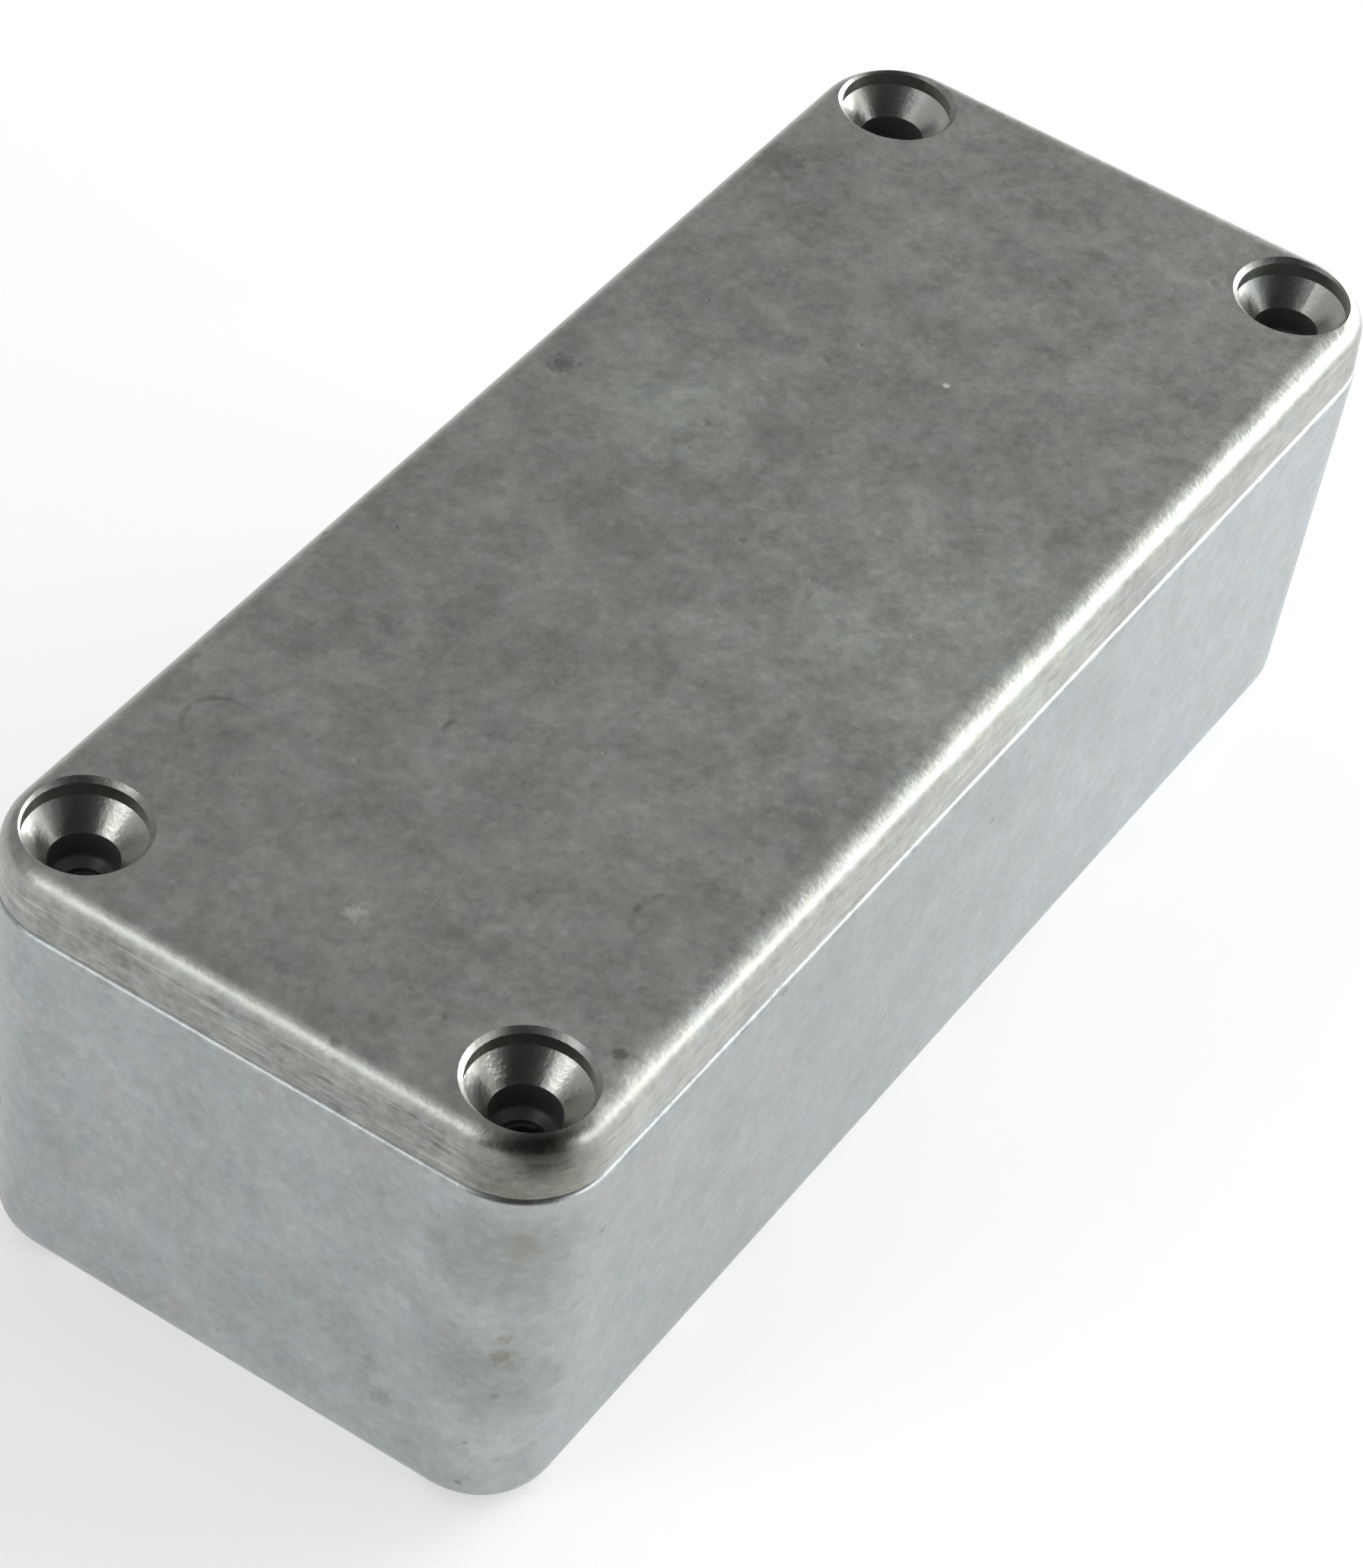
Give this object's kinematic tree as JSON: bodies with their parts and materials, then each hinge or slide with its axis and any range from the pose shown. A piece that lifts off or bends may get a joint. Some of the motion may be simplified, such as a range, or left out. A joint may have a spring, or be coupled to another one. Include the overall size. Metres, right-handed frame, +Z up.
{
  "type": "die cast aluminium enclosure box",
  "caption": "Small die cast aluminium box: a drafted tub with corner screw posts, and a lid that laps into it and takes countersunk screws.",
  "frame": {"origin": "middle of the underside that the box stands on", "axes": "+X along the length, +Y across the width, +Z up through the lid"},
  "size_m": [0.0926, 0.0384, 0.031],
  "materials": {
    "cast_tub": "as cast, tumbled, dull",
    "cast_lid": "as cast, tumbled, dull"
  },
  "bodies": {
    "root": {"box_body": "cast_tub", "lid": "cast_lid"}
  },
  "joints": []
}
